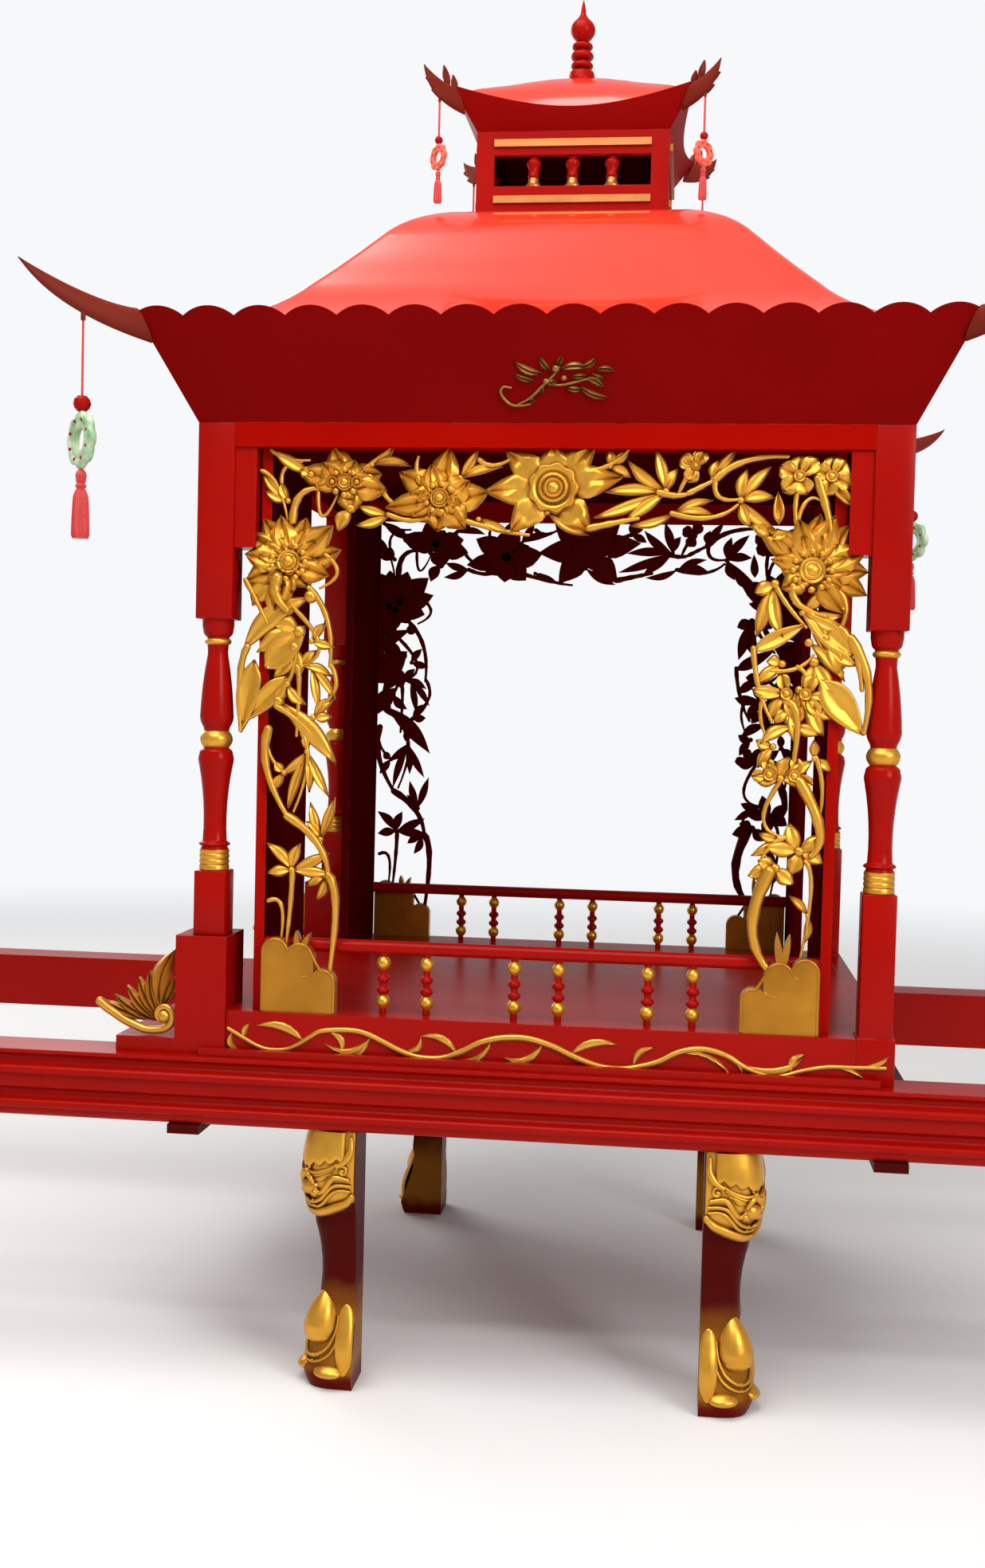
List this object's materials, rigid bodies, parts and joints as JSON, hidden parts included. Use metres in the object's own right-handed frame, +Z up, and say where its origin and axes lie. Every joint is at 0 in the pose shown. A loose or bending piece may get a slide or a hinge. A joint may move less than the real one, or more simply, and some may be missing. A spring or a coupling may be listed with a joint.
{
  "type": "palanquin",
  "caption": "Red-lacquered procession palanquin: a small roofed pavilion with gilt carved fronts, on two long carrying rails and cabriole legs.",
  "frame": {"origin": "on the ground under the middle of the pavilion, between the four feet", "axes": "+X along the carrying rails, away from the porch shelf; -Y towards the carved front; +Z up"},
  "size_m": [3.54, 1.1566, 1.928],
  "materials": {
    "dark_lacquer": "dark maroon lacquer on wood",
    "gilding": "gilding over carved wood",
    "jade": "polished pale green stone",
    "red_lacquer": "gloss red lacquer on wood",
    "roof_lacquer": "bright red gloss lacquer on wood",
    "silk": "twisted red silk"
  },
  "bodies": {
    "root": {"balustrade_front": "red_lacquer", "balustrade_rear": "red_lacquer", "base_boards": "red_lacquer", "base_mouldings": "red_lacquer", "cap_eaves": "red_lacquer", "cap_horns": "dark_lacquer", "cap_roof": "roof_lacquer", "ceiling": "dark_lacquer", "deck": "red_lacquer", "eaves_front": "red_lacquer", "eaves_horns": "dark_lacquer", "eaves_left": "red_lacquer", "eaves_rear": "red_lacquer", "eaves_right": "red_lacquer", "end_beams": "dark_lacquer", "end_shelf": "red_lacquer", "finial": "red_lacquer", "jamb_boards": "red_lacquer", "lantern": "red_lacquer", "lantern_balusters": "red_lacquer", "lantern_mouldings": "gilding", "leg_bearers": "dark_lacquer", "leg_front_left": "red_lacquer", "leg_front_right": "red_lacquer", "leg_rear_left": "red_lacquer", "leg_rear_right": "red_lacquer", "lintels": "red_lacquer", "main_roof": "roof_lacquer", "openwork_front": "gilding", "openwork_rear": "dark_lacquer", "pedestals": "red_lacquer", "pendant_cords": "silk", "pendant_rings": "jade", "pendant_tassels": "silk", "post_front_left": "red_lacquer", "post_front_right": "red_lacquer", "post_rear_left": "red_lacquer", "post_rear_right": "red_lacquer", "rail_front": "red_lacquer", "rail_knobs": "gilding", "rail_rear": "red_lacquer", "rocks": "gilding", "scroll_brackets": "gilding", "shoulder_planks": "red_lacquer"}
  },
  "joints": []
}
